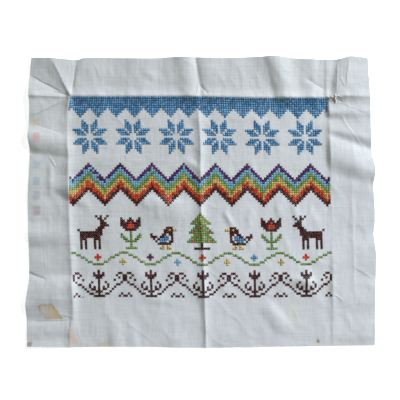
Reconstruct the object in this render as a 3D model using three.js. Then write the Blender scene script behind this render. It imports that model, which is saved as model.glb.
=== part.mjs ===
// A cross stitch sampler: one piece of plain woven cotton, unframed, lying face up on a table.
// Its margins were once folded back over a board. The pressed creases round the worked field
// still stand proud, and the margins fall from them to the cut edges in flat pleats and soft
// waves. A lighter crease runs down the middle, where the cloth was folded in half.
// The floss is too fine for this model, which holds the cloth alone.
//
// Millimetres, +Z up, +X to the right and +Y to the top of the worked side. The origin is on the
// table, under the middle of the cloth. Wherever no fold lifts it, the cloth lies on the table.

import * as THREE from "three";

const CLOTH_THICKNESS = 1.2;

// The mesh has a line along each crease and pleat, and no cell is longer than this.
const LARGEST_CELL = 13;
const SMALLEST_CELL = 5.5;

const { clamp, lerp } = THREE.MathUtils;

/** Rows with named columns. */
const table = (columns, rows) =>
  rows.map((row) => Object.fromEntries(columns.map((name, i) => [name, row[i]])));

// The four cut edges, which wander a little where the cloth is pulled up into folds.
const TOP_EDGE = table(
  ["x", "y"],
  [
    [-226, 192],
    [-200, 191.5],
    [-165, 189.5],
    [-155, 192],
    [-68, 191.5],
    [-25, 193.5],
    [19, 192],
    [81, 193.5],
    [96, 194.5],
    [132, 191],
    [181, 190],
    [198, 194],
    [212, 193],
    [222, 191.5],
  ],
);
const BOTTOM_EDGE = table(
  ["x", "y"],
  [
    [-232, -193],
    [-175, -194],
    [-108, -193],
    [-1, -194.5],
    [79, -193.5],
    [232, -191],
  ],
);
const LEFT_EDGE = table(
  ["y", "x"],
  [
    [-193, -232],
    [-157, -232.5],
    [-137, -233.5],
    [-104, -229.5],
    [-51, -230],
    [3, -231],
    [69, -228.5],
    [87, -230.5],
    [129, -228.5],
    [143, -229.5],
    [170, -228],
    [192, -226],
  ],
);
const RIGHT_EDGE = table(
  ["y", "x"],
  [
    [-191, 232],
    [-131, 232.5],
    [-71, 233.5],
    [-44, 230.5],
    [-24, 232],
    [23, 229.5],
    [45, 232],
    [59, 229],
    [96, 226.5],
    [136, 225.5],
    [174, 223],
    [191.5, 222],
  ],
);

// The pressed creases. The crest is how far each stands above the cloth beside it.
const TOP_CREASE = table(
  ["x", "y", "crest"],
  [
    [-176, 142, 2.6],
    [0, 142, 2.6],
    [80, 140.3, 2.6],
    [169, 140.3, 2.2],
    [225, 140, 1.2],
  ],
);
const LEFT_CREASE = table(
  ["y", "x", "crest"],
  [
    [-193.5, -175.6, 1],
    [-157.5, -170.2, 2.2],
    [-104, -171.6, 2.4],
    [-64, -173.6, 2.4],
    [-11, -175.6, 2.2],
    [63, -176.9, 2],
    [115, -178.2, 2.4],
    [140, -176, 2.6],
  ],
);
const RIGHT_CREASE = table(
  ["y", "x", "crest"],
  [
    [-191, 176.2, 0.8],
    [-150, 176.2, 1.8],
    [-100, 176.2, 2.2],
    [-60, 175.5, 0.8],
    [16, 173.6, 0.8],
    [90, 171.5, 1],
    [136, 170.2, 1.6],
    [140, 169, 2],
  ],
);
const CENTRE_CREASE = table(
  ["y", "x", "crest"],
  [
    [-193.5, 7.3, 2.4],
    [-131, 5, 3.2],
    [-104, 4, 3],
    [-57, 2.7, 2.6],
    [-24, 0.7, 3.2],
    [29, -0.7, 3.2],
    [83, -0.9, 3],
    [125, -4, 2],
    [142, -5.3, 0.6],
  ],
);
// How far from its crest each crease has died away, over the field and over the margin.
const FIELD_REACH = { top: 18, left: 14, right: 15, centre: 14 };
const MARGIN_REACH = { top: 13, left: 11, right: 10 };

// The margins' pleats. Each line runs from a place along the crease to a place along the cut
// edge, and the cloth lies straight between one line and the next, or rounds over a soft one.
const PLEAT = ["atCrease", "atEdge", "creaseLift", "edgeLift", "soft"];
const TOP_PLEATS = table(PLEAT, [
  [-176, -226.3, 3.5, 4.6, false],
  [-174, -198.6, 3.8, 11, false],
  [-173, -165.6, 3.5, 1, false],
  [-166, -150, 2.5, 3.2, true],
  [-108, -108, 2.5, 3, true],
  [-55, -55, 2, 2, true],
  [-20, -19, 3, 6, true],
  [-3.5, -3.5, 2.5, 1, false],
  [8, 9, 3, 3.8, true],
  [40, 40, 2.2, 2, true],
  [60, 62, 3, 3, true],
  [78, 80, 2, 1.6, true],
  [108, 104, 4, 7.5, true],
  [128, 130, 2.5, 2.5, true],
  [150, 148, 3, 3, true],
  [166.5, 167.3, 4.6, 4.5, false],
  [171, 173.5, 3.9, 1.5, false],
  [176, 183, 4.6, 4.2, true],
  [186, 190, 3.6, 2.5, true],
  [192, 197.6, 3.6, 8, false],
  [225.5, 222.3, 3, 1.5, false],
]);
const LEFT_PLEATS = table(PLEAT, [
  [-193.5, -193.5, 0.6, 3, false],
  [-175, -176, 1.6, 2.2, true],
  [-159.5, -159.5, 0.6, 0.4, false],
  [-131, -131, 2.7, 3, false],
  [-127.5, -127.5, 2.2, 2.6, false],
  [-116, -125, 4.2, 3.8, true],
  [-111, -94, 3.6, 0.6, false],
  [-80, -82, 1.2, 3, true],
  [-64, -62, 1, 1.6, true],
  [-45, -44, 1.6, 4.2, true],
  [-24, -23, 1.2, 1.2, true],
  [-3, -3, 1.2, 2, true],
  [18, 10, 3.4, 2.6, true],
  [40, 40, 2.2, 2.2, true],
  [62, 68.7, 1, 0.6, false],
  [74.8, 84, 5.4, 7, true],
  [89.4, 108, 1.2, 2.6, false],
  [137.5, 113.3, 3.4, 5.4, false],
  [138, 136, 3, 3.6, true],
  [139, 142.5, 3.2, 5.6, false],
  [139.5, 167.3, 2.4, 0.6, false],
  [140.5, 192, 3.5, 4.6, false],
]);
const RIGHT_PLEATS = table(PLEAT, [
  [-191, -191, 0.5, 1, true],
  [-130, -130, 1, 2, true],
  [-84, -101, 1.4, 0.8, false],
  [-68, -78, 2, 3, true],
  [-40, -46, 1.6, 0.8, true],
  [-15, -25, 3.4, 3.8, true],
  [5, 0, 3, 1.8, true],
  [42, 30, 2.2, 1, true],
  [56, 45, 4.4, 9, true],
  [86, 76, 1.8, 1, true],
  [95.5, 99, 5, 3.5, true],
  [111, 108, 3.2, 2.6, true],
  [119.5, 117.5, 4.6, 4, true],
  [137, 136.5, 3.4, 1.8, true],
  [140.3, 140, 4, 3, false],
]);

// Soft folds that cross the field, dying away at both ends and on both sides of each line.
const FOLDS = table(
  ["fromX", "fromY", "toX", "toY", "lift", "reachLeft", "reachRight"],
  [
    [-200, 58, -200, 0, 1.8, 9, 12],
    [156, -62, 176, -126, 2.4, 9, 16],
    [-100, 4, 10, -12, 2.8, 14, 34],
    [-192, 24, -138, -10, 2.4, 20, 12],
    [-172, 66, -100, 52, 1.3, 16, 18],
    [105, 16, 130, -38, 1.3, 16, 16],
    [112, -100, 158, -108, 2, 10, 14],
    [104, -100, 112, -166, 1.5, 12, 12],
    [-116, -140, -110, -246, 2, 16, 14],
    [-88, -124, -12, -138, 1.6, 12, 12],
  ],
);

/** A table's value in one column where another column is `at`, on a smooth curve through its rows. */
function along(rows, place, at, value) {
  const last = rows.length - 1;
  const slope = (i) => {
    const before = rows[Math.max(i - 1, 0)];
    const after = rows[Math.min(i + 1, last)];
    return (after[value] - before[value]) / (after[place] - before[place]);
  };
  let i = 0;
  while (i < last - 1 && at > rows[i + 1][place]) i++;
  const [a, b] = [rows[i], rows[i + 1]];
  const width = b[place] - a[place];
  const t = clamp((at - a[place]) / width, 0, 1);
  return (
    a[value] * (1 + 2 * t) * (1 - t) ** 2 +
    b[value] * (3 - 2 * t) * t ** 2 +
    width * t * (1 - t) * (slope(i) * (1 - t) - slope(i + 1) * t)
  );
}

/** How far along a stretch of cloth the height has changed, which starts or ends level at a soft line. */
function ease(w, softStart, softEnd) {
  if (softStart && softEnd) return w * w * (3 - 2 * w);
  if (softStart) return w * w;
  if (softEnd) return 1 - (1 - w) ** 2;
  return w;
}

/** A margin's height at a place along it, `out` of the way from the crease to the cut edge. */
function pleated(pleats, place, out) {
  const lines = pleats.map((pleat) => ({
    at: lerp(pleat.atCrease, pleat.atEdge, out),
    lift: lerp(pleat.creaseLift, pleat.edgeLift, out),
    soft: pleat.soft,
  }));
  let i = 0;
  while (i < lines.length - 2 && place > lines[i + 1].at) i++;
  const [a, b] = [lines[i], lines[i + 1]];
  const w = clamp((place - a.at) / Math.max(b.at - a.at, 1e-6), 0, 1);
  return lerp(a.lift, b.lift, ease(w, a.soft, b.soft));
}

/** A crease's profile: steepest at its crest, and level at its reach. */
const crestProfile = (distance, reach) => clamp(1 - Math.abs(distance) / reach, 0, 1) ** 2;

/** The height that one soft fold adds at a point. */
function foldHeight(fold, x, y) {
  const length = Math.hypot(fold.toX - fold.fromX, fold.toY - fold.fromY);
  const [dx, dy] = [(fold.toX - fold.fromX) / length, (fold.toY - fold.fromY) / length];
  const lengthwise = ((x - fold.fromX) * dx + (y - fold.fromY) * dy) / length;
  const leftwards = (y - fold.fromY) * dx - (x - fold.fromX) * dy;
  const across = clamp(leftwards > 0 ? leftwards / fold.reachLeft : -leftwards / fold.reachRight, 0, 1);
  const fromEnd = clamp(2 * Math.min(lengthwise, 1 - lengthwise), 0, 1);
  return fold.lift * (1 - across ** 2) ** 2 * ease(fromEnd, true, true);
}

/** How high the underside of the cloth lies over a point of the table. */
function height(x, y) {
  const topY = along(TOP_CREASE, "x", x, "y");
  const leftX = along(LEFT_CREASE, "y", y, "x");
  const rightX = along(RIGHT_CREASE, "y", y, "x");
  const centreX = along(CENTRE_CREASE, "y", y, "x");
  const outTop = (y - topY) / (along(TOP_EDGE, "x", x, "y") - topY);
  const outLeft = (leftX - x) / (leftX - along(LEFT_EDGE, "y", y, "x"));
  const outRight = (x - rightX) / (along(RIGHT_EDGE, "y", y, "x") - rightX);

  const pastTop = Math.max(y - TOP_CREASE[0].y, 0);
  const pastLeft = Math.max(TOP_CREASE[0].x - x, 0);
  const creases = [
    {
      side: "top",
      crest: along(TOP_CREASE, "x", x, "crest"),
      shoulder: pleated(TOP_PLEATS, x, 0),
      distance: Math.hypot(y - topY, pastLeft),
    },
    {
      side: "left",
      crest: along(LEFT_CREASE, "y", y, "crest"),
      shoulder: pleated(LEFT_PLEATS, y, 0),
      distance: Math.hypot(x - leftX, pastTop),
    },
    {
      side: "right",
      crest: along(RIGHT_CREASE, "y", y, "crest"),
      shoulder: pleated(RIGHT_PLEATS, y, 0),
      distance: Math.hypot(x - rightX, pastTop),
    },
  ];

  let lift;
  if (outTop > 0 || outLeft > 0 || outRight > 0) {
    const crests = creases.map((c) => c.crest * crestProfile(c.distance, MARGIN_REACH[c.side]));
    lift = Math.max(...crests);
    if (outTop > 0 && outTop >= outLeft) lift += pleated(TOP_PLEATS, x, outTop);
    else if (outLeft > 0) lift += pleated(LEFT_PLEATS, y, outLeft);
    else lift += pleated(RIGHT_PLEATS, y, outRight);
  } else {
    const crests = creases.map(
      (c) => (c.crest + c.shoulder) * crestProfile(c.distance, FIELD_REACH[c.side]),
    );
    lift =
      Math.max(...crests) +
      along(CENTRE_CREASE, "y", y, "crest") * crestProfile(x - centreX, FIELD_REACH.centre);
  }
  return Math.max(lift + FOLDS.reduce((sum, fold) => sum + foldHeight(fold, x, y), 0), 0);
}

/** Mesh stations through the fixed places, then the wanted ones that there is room for, then evenly between. */
function stations(fixed, wanted) {
  const kept = [...fixed];
  for (const place of wanted) {
    if (kept.every((other) => Math.abs(other - place) >= SMALLEST_CELL)) kept.push(place);
  }
  kept.sort((a, b) => a - b);
  return kept.flatMap((place, i) => {
    if (i === 0) return [place];
    const start = kept[i - 1];
    const cells = Math.ceil((place - start) / LARGEST_CELL);
    return Array.from({ length: cells }, (_, k) => lerp(start, place, (k + 1) / cells));
  });
}

// Columns and rows are stated where they cross the middle of the cloth, and follow its edges
// and creases up, down and across.
const COLUMN_LINES = [-231, -175.5, 0, 173.5, 231];
const ROW_LINES = [-193.5, 141, 192];
const lineMiddles = (pleats) => pleats.map((pleat) => (pleat.atCrease + pleat.atEdge) / 2);
const besideCrease = (line) => [line - 7, line + 7];
const COLUMNS = stations(COLUMN_LINES, [
  ...COLUMN_LINES.slice(1, -1).flatMap(besideCrease),
  ...lineMiddles(TOP_PLEATS).filter((x) => Math.abs(x) < COLUMN_LINES.at(-1)),
]);
const ROWS = stations(ROW_LINES, [
  ...besideCrease(ROW_LINES[1]),
  ...[...LEFT_PLEATS, ...RIGHT_PLEATS]
    .flatMap((pleat) => lineMiddles([pleat]))
    .filter((y) => y > ROW_LINES[0] && y < ROW_LINES.at(-1)),
]);

/** Where a place stated on one set of lines falls once the lines have moved. */
function follow(place, stated, moved) {
  let i = 0;
  while (i < stated.length - 2 && place > stated[i + 1]) i++;
  return lerp(moved[i], moved[i + 1], (place - stated[i]) / (stated[i + 1] - stated[i]));
}

/** The cloth's point in plan for one column and row. */
function planPoint(column, row) {
  const crossings = [LEFT_EDGE, LEFT_CREASE, CENTRE_CREASE, RIGHT_CREASE, RIGHT_EDGE];
  const x = follow(
    column,
    COLUMN_LINES,
    crossings.map((line) => along(line, "y", row, "x")),
  );
  const levels = [BOTTOM_EDGE, TOP_CREASE, TOP_EDGE];
  const y = follow(
    row,
    ROW_LINES,
    levels.map((line) => along(line, "x", x, "y")),
  );
  return [x, y];
}

/** The cloth: its upper and under sides with the same folds, closed along the four cut edges. */
function clothGeometry() {
  const [across, up] = [COLUMNS.length, ROWS.length];
  const under = ROWS.flatMap((row) =>
    COLUMNS.map((column) => {
      const [x, y] = planPoint(column, row);
      return [x, y, height(x, y)];
    }),
  );
  const upper = under.map(([x, y, z]) => [x, y, z + CLOTH_THICKNESS]);
  const at = (i, j) => j * across + i;
  const triangles = [];
  const addSheet = (a, b, c) => {
    const lifted = under.length;
    triangles.push([a + lifted, b + lifted, c + lifted], [c, b, a]);
  };
  const addWall = (a, b) => {
    const lifted = under.length;
    triangles.push([a, b, b + lifted], [a, b + lifted, a + lifted]);
  };
  for (let j = 0; j < up - 1; j++) {
    for (let i = 0; i < across - 1; i++) {
      const [a, b, c, d] = [at(i, j), at(i + 1, j), at(i + 1, j + 1), at(i, j + 1)];
      // Each cell is split along the diagonal that changes height less, as a fold would lie.
      if (Math.abs(under[a][2] - under[c][2]) <= Math.abs(under[b][2] - under[d][2])) {
        addSheet(a, b, c);
        addSheet(a, c, d);
      } else {
        addSheet(a, b, d);
        addSheet(b, c, d);
      }
    }
  }
  for (let i = 0; i < across - 1; i++) {
    addWall(at(i, 0), at(i + 1, 0));
    addWall(at(i + 1, up - 1), at(i, up - 1));
  }
  for (let j = 0; j < up - 1; j++) {
    addWall(at(across - 1, j), at(across - 1, j + 1));
    addWall(at(0, j + 1), at(0, j));
  }
  const geometry = new THREE.BufferGeometry();
  geometry.setAttribute("position", new THREE.Float32BufferAttribute([...under, ...upper].flat(), 3));
  geometry.setIndex(triangles.flat());
  geometry.computeVertexNormals();
  return geometry;
}

const linen = new THREE.MeshStandardMaterial({ color: 0xdfe2e0, roughness: 0.9, metalness: 0 });

const cloth = new THREE.Mesh(clothGeometry(), linen);
cloth.name = "sampler_cloth";

const sampler = new THREE.Group();
sampler.add(cloth);

export default sampler;
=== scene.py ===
# A worked cross stitch sampler, lying face up and unframed on a pale table.
#
# One sheet of plain woven cotton with raw cut edges. Its margins were once folded back over a
# board, so pressed creases stand proud round the worked field, and the margins fall from them in
# pleats and soft waves. Every cross is two arms of floss, the upper ones all leaning one way.
#
# Tables and sizes are in millimetres, and meshes in metres. +X is to the right and +Y to the top
# of the worked side. A place on the cloth is stated by its column and row: where its warp and
# weft threads cross the middle of the cloth, before folds and creases draw them aside.
import math
from functools import partialmethod

import bpy
import numpy as np
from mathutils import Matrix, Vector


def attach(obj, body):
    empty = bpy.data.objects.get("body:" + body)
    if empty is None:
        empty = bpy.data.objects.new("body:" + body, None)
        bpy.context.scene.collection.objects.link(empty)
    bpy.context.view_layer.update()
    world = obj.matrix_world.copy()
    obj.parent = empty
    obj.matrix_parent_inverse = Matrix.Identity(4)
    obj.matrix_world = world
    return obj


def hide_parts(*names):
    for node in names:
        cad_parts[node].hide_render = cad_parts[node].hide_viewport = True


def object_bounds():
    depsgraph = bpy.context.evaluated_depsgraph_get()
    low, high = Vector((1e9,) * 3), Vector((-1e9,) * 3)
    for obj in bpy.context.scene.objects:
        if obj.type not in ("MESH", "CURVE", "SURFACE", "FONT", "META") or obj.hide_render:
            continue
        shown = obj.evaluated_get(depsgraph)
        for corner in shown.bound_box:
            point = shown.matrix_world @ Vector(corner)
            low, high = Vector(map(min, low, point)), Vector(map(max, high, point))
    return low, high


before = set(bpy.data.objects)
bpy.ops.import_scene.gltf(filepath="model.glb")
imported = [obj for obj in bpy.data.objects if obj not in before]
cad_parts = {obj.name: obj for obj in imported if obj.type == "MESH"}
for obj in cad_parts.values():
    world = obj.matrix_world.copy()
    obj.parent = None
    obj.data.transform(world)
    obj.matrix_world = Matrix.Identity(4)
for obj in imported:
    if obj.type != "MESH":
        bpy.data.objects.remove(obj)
cad_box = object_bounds()

MM = 0.001
BODY = "root"

# ---------------- the camera and the light

VIEW_CENTRE = (-1.3, 2.7)
VIEW_WIDTH = 534
LENS, SENSOR = 100, 36

KEY_FROM = 40            # degrees round from +X
KEY_HEIGHT = 30          # degrees above the table
KEY_DISTANCE = 3.4       # metres
KEY_SIZE = 1.15          # metres
KEY_POWER = 168
KEY_COLOUR = (0.90, 0.952, 1.0)
FILL_COLOUR = (1.0, 0.975, 0.93)
FILL_STRENGTH = 0.30
TABLE_GLOW = 0.62


def add_object(name, data):
    made = bpy.data.objects.new(name, data)
    bpy.context.scene.collection.objects.link(made)
    return made


def add_camera():
    """Straight above the cloth, with the top of the worked side up."""
    camera = add_object("camera", bpy.data.cameras.new("camera"))
    camera.data.lens = LENS
    camera.data.sensor_width = SENSOR
    camera.location = (VIEW_CENTRE[0] * MM, VIEW_CENTRE[1] * MM, VIEW_WIDTH * MM * LENS / SENSOR)
    bpy.context.scene.camera = camera


def add_light():
    """One large soft light, low on the upper right, and a pale fill from all round."""
    light = bpy.data.lights.new("key", "AREA")
    light.shape = "DISK"
    light.size = KEY_SIZE
    light.energy = KEY_POWER
    light.color = KEY_COLOUR
    key = add_object("key", light)
    turn, lift = math.radians(KEY_FROM), math.radians(KEY_HEIGHT)
    level = math.cos(lift)
    towards = np.array([level * math.cos(turn), level * math.sin(turn), math.sin(lift)])
    key.location = KEY_DISTANCE * towards
    key.rotation_euler = (math.pi / 2 - lift, 0, turn + math.pi / 2)

    world = bpy.data.worlds.new("studio")
    world.use_nodes = True
    background = world.node_tree.nodes["Background"]
    background.inputs["Color"].default_value = (*FILL_COLOUR, 1)
    background.inputs["Strength"].default_value = FILL_STRENGTH
    bpy.context.scene.world = world
    bpy.context.scene.view_settings.view_transform = "Standard"


add_camera()
add_light()

# ---------------- the cloth's lines

# The four cut edges, the upper and lower by x and y, and those at the sides by y and x.
TOP_EDGE = [
    (-226, 192), (-200, 191.5), (-165, 189.5), (-155, 192), (-68, 191.5), (-25, 193.5), (19, 192),
    (81, 193.5), (96, 194.5), (132, 191), (181, 190), (190, 192), (198, 194), (212, 193), (222, 191.5),
]
BOTTOM_EDGE = [
    (-232, -193), (-175, -194), (-108, -193), (-1, -194.5), (79, -193.5), (232, -191),
]
LEFT_EDGE = [
    (-193, -232), (-157, -232.5), (-137, -233.5), (-104, -229.5), (-51, -230), (3, -231),
    (69, -228.5), (87, -230.5), (99, -229.5), (129, -228.5), (143, -229.5), (170, -228), (192, -226),
]
RIGHT_EDGE = [
    (-191, 232), (-131, 232.5), (-71, 233.5), (-44, 230.5), (-24, 232), (3, 231), (23, 229.5),
    (35, 231.5), (45, 232), (59, 229), (69, 227.5), (96, 226.5), (136, 225.5), (156, 224.5),
    (174, 223), (191.5, 222),
]

# The pressed creases in the same way, and how far each stands above the cloth beside it.
TOP_CREASE = [
    (-176, 142, 2.6), (0, 142, 2.6), (80, 140.3, 2.6), (169, 140.3, 2.2), (225, 140, 1.2),
]
LEFT_CREASE = [
    (-193.5, -175.6, 0.8), (-157.5, -170.6, 1.5), (-104, -171.6, 2.2), (-64, -173.6, 2.2),
    (-11, -175.6, 2.1), (63, -176.9, 1.6), (115, -178.2, 1.4), (140, -174.5, 2.6),
]
RIGHT_CREASE = [
    (-191, 176.2, 0.2), (-150, 176.2, 0.5), (-115, 176.2, 1.3), (-95, 176, 0.8), (-60, 175.5, 0.2),
    (16, 173.6, 0.2), (90, 171.5, 0.4), (136, 170.2, 1), (140, 169, 2),
]
CENTRE_CREASE = [
    (-193.5, 7.3, 2.4), (-131, 5, 3.2), (-104, 4, 3), (-57, 2.7, 2.6), (-24, 0.7, 3.2), (29, -0.7, 3.2),
    (83, -0.9, 3), (125, -4, 2), (142, -5.3, 0.6),
]
# How far from its crest each crease has died away, over the margin and over the field.
TOP_REACH, LEFT_REACH, RIGHT_REACH = (13, 18), (11, 13), (10, 8)
CENTRE_REACH = 14
RIGHT_HASTE = 2.2

# The margins' pleats. Each line runs from a place along the crease to a place along the cut
# edge, and the cloth lies straight between one line and the next, or rounds over a soft one.
# Each row: at the crease, at the edge, lift at the crease, lift at the edge, soft.
TOP_PLEATS = [
    (-175, -226.3, 4.4, 5.2, 0),
    (-173, -198.6, 5.6, 8.2, 0),
    (-172, -165.6, 3, 2.8, 0),
    (-164, -156, 2.8, 4.6, 1),
    (-120, -120, 2.5, 3.4, 1),
    (-90, -92, 2.3, 4.8, 1),
    (-58, -53, 2, 2.6, 1),
    (-32, -44, 2.2, 3.6, 1),
    (-14, -20.5, 4.4, 7.2, 1),
    (1, -8, 1.6, 2.3, 0),
    (6, 6.5, 3, 5.3, 1),
    (34, 34, 2.2, 4, 1),
    (50, 44, 2.6, 4.8, 1),
    (84, 60, 2, 4, 1),
    (97, 84, 1.3, 5.8, 0),
    (113.5, 98, 5.5, 8.5, 1),
    (134, 125, 2.2, 2.5, 1),
    (150, 149, 3, 4.9, 1),
    (158, 158, 2.4, 3, 1),
    (164, 164, 1.9, 2.6, 0),
    (167, 167, 3, 3.4, 0),
    (172.3, 178.5, 2.2, 3.3, 0),
    (180.3, 183.3, 5.7, 5, 0),
    (187.5, 189.5, 6.1, 6, 1),
    (192.5, 195, 6.4, 7.4, 0),
    (225.5, 222.3, 5.2, 4.9, 0),
]
LEFT_PLEATS = [
    (-193.5, -193.5, 1.2, 3.4, 0),
    (-183, -183, 0.8, 1.4, 1),
    (-172, -172, 2.2, 2.2, 1),
    (-157, -157, 0.6, 0.4, 0),
    (-137, -145, 3, 3.8, 0),
    (-113, -131, 6.6, 7.4, 1),
    (-98, -98, 0.8, 0.4, 0),
    (-80, -80, 1.2, 0.8, 1),
    (-64, -63, 1, 0.8, 1),
    (-45, -43, 2.4, 5.2, 1),
    (-24, -23, 1.2, 2, 1),
    (-3, -3, 1.2, 2.8, 1),
    (5, 3, 0.6, 2.6, 1),
    (24, 20, 3.8, 2.4, 1),
    (40, 40, 3, 1.2, 1),
    (59, 67, 1.6, 0.3, 0),
    (75.5, 90, 4.6, 8.8, 1),
    (96, 106, 1, 3.8, 1),
    (137, 113.5, 4.6, 4.4, 0),
    (138, 136, 4.9, 6, 1),
    (139, 142, 5.4, 7.4, 0),
    (139.5, 168, 4.4, 2.8, 0),
    (140.5, 192, 4.4, 5.2, 0),
]
RIGHT_PLEATS = [
    (-191, -191, 0.5, 0.4, 1),
    (-178, -178, 0.9, 1.8, 1),
    (-150, -146, 0.6, 0.6, 1),
    (-130, -130, 0.8, 1.4, 1),
    (-84, -101, 0.6, 0.5, 0),
    (-68, -78, 0.9, 1.6, 1),
    (-40, -46, 0.6, 0.5, 1),
    (-15, -25, 1, 2.4, 1),
    (8, 0, 0.6, 1.4, 1),
    (36, 20, 1.2, 3.2, 1),
    (62, 40.5, 4.2, 8.2, 1),
    (90, 70, 1, 1.4, 0),
    (97, 84.5, 2.4, 5, 0),
    (111, 110.5, 0.6, 3, 1),
    (119, 120, 4.3, 4.8, 1),
    (131, 131, 2.4, 4.2, 1),
    (140.3, 140, 5.2, 5.1, 0),
]

# Folds that cross the field and the margins, each dying away at both ends and on both sides of
# its line. A soft one is rounded, and the others are pinched to an edge.
FOLDS = [
    # from x, from y, to x, to y, lift, reach to the left, reach to the right, soft
    (-200, 58, -200, 0, 1.8, 5, 9, 0),
    (201, 34, 204, -140, 0.6, 6, 5, 0),
    (127, -58, 160, -150, 2.7, 12, 20, 1),
    (-100, 4, 10, -12, 2.8, 14, 34, 1),
    (-26, 60, 2, 42, 1.8, 6, 8, 1),
    (-208, 30, -138, -12, 2.6, 20, 9, 1),
    (-172, 66, -100, 52, 1.3, 14, 18, 1),
    (108, -99, 160, -110, 2.5, 8, 14, 1),
    (78, -122, 128, -188, 2.6, 13, 18, 1),
    (-116, -140, -110, -246, 2, 16, 14, 1),
    (-92, -145, -84, -240, 1.4, 8, 14, 1),
    (-92, -132, -44, -196, 1.2, 9, 6, 1),
    (-88, -124, -12, -138, 1.6, 12, 10, 1),
    (-172, -108, -108, -124, 1.4, 12, 9, 1),
    (-84, 179, -56, 162, 1, 9, 7, 1),
    # small puckers where the stitching draws the cloth in
    (-128, 88, -124, 68, 0.7, 5, 6, 1),
    (-96, 84, -90, 66, 0.8, 6, 6, 1),
    (-44, 98, -40, 74, 0.7, 5, 6, 1),
    (34, 56, 40, 36, 0.8, 5, 6, 1),
    (66, 52, 72, 36, 0.7, 5, 6, 1),
    (-60, -4, -54, -26, 0.8, 5, 6, 1),
    (28, -6, 44, -36, 1.2, 6, 6, 1),
    (62, -2, 70, -24, 0.9, 6, 5, 1),
    (100, 2, 104, -24, 0.9, 5, 6, 1),
    (122, 8, 124, -22, 1, 5, 6, 1),
    (135, 8, 139, -24, 1.1, 5, 7, 1),
    (152, -4, 154, -40, 0.9, 6, 8, 1),
    (36, -80, 30, -128, 1.3, 9, 12, 1),
    (28, -8, 48, -42, 1.4, 5, 4, 1),
    (60, -10, 67, -38, 1.1, 5, 5, 1),
    (82, -8, 90, -40, 1.4, 5, 5, 1),
    (52, -44, 50, -72, 1.1, 4, 4, 1),
    (66, -44, 66, -74, 1.2, 4, 4, 1),
    (80, -44, 84, -74, 1.1, 4, 4, 1),
    (95, -44, 98, -76, 1.1, 5, 5, 1),
    (112, -42, 120, -80, 1.2, 6, 6, 1),
    (102, 20, 108, -36, 1.2, 7, 7, 1),
    (122, 18, 132, -40, 1.4, 7, 7, 1),
    (142, 14, 148, -34, 1, 6, 6, 1),
]

# ---------------- the cloth's height

CREST = 2                # the column of a crease that tells its crest
# How much of a fold's length each of its ends takes to die away.
SOFT_FADE, SHARP_FADE = 0.5, 0.3


def along(line, at, column=1):
    """Where a line lies at places along it, or its crest there, on a smooth curve."""
    places, values = np.array(line, float).T[[0, column]]
    index = np.arange(len(places))
    before, after = np.maximum(index - 1, 0), np.minimum(index + 1, len(places) - 1)
    slope = (values[after] - values[before]) / (places[after] - places[before])
    i = np.clip(np.searchsorted(places, at) - 1, 0, len(places) - 2)
    width = places[i + 1] - places[i]
    t = np.clip((at - places[i]) / width, 0, 1)
    return (
        values[i] * (1 + 2 * t) * (1 - t) ** 2
        + values[i + 1] * (3 - 2 * t) * t**2
        + width * t * (1 - t) * (slope[i] * (1 - t) - slope[i + 1] * t)
    )


def ease(w, soft_start, soft_end):
    """How far along a stretch the height has changed. It starts or ends level at a soft line."""
    if soft_start and soft_end:
        return w * w * (3 - 2 * w)
    if soft_start:
        return w * w
    if soft_end:
        return 1 - (1 - w) ** 2
    return w


def pleated(pleats, place, out, haste=1.0):
    """A margin's height at places along it, `out` of the way from the crease to the cut edge.

    With more haste the pleats take most of their lift soon after the crease.
    """
    grown = 1 - (1 - np.clip(out, 0, 1)) ** haste
    lines = [
        (at_crease * (1 - out) + at_edge * out, crease_lift * (1 - grown) + edge_lift * grown, soft)
        for at_crease, at_edge, crease_lift, edge_lift, soft in pleats
    ]
    height = lines[0][1] + 0 * place
    for (at, lift, soft), (next_at, next_lift, next_soft) in zip(lines, lines[1:]):
        w = np.clip((place - at) / np.maximum(next_at - at, 1e-6), 0, 1)
        change = (next_lift - lift) * ease(w, soft, next_soft)
        height = np.where(place > at, lift + change, height)
    return height


def crest_profile(distance, reach):
    """A crease's profile: steepest at its crest, and level at its reach."""
    return np.clip(1 - np.abs(distance) / reach, 0, 1) ** 2


def fold_heights(x, y):
    """The height that the folds add."""
    total = 0 * x
    for from_x, from_y, to_x, to_y, lift, reach_left, reach_right, soft in FOLDS:
        length = math.dist((from_x, from_y), (to_x, to_y))
        dx, dy = (to_x - from_x) / length, (to_y - from_y) / length
        lengthwise = ((x - from_x) * dx + (y - from_y) * dy) / length
        leftwards = (y - from_y) * dx - (x - from_x) * dy
        side = np.where(leftwards > 0, leftwards / reach_left, -leftwards / reach_right)
        side = np.clip(side, 0, 1)
        across = (1 - side**2) ** 2 if soft else (1 - side) ** 2
        from_end = np.minimum(lengthwise, 1 - lengthwise) / (SOFT_FADE if soft else SHARP_FADE)
        total += lift * across * ease(np.clip(from_end, 0, 1), True, True)
    return total


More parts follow.
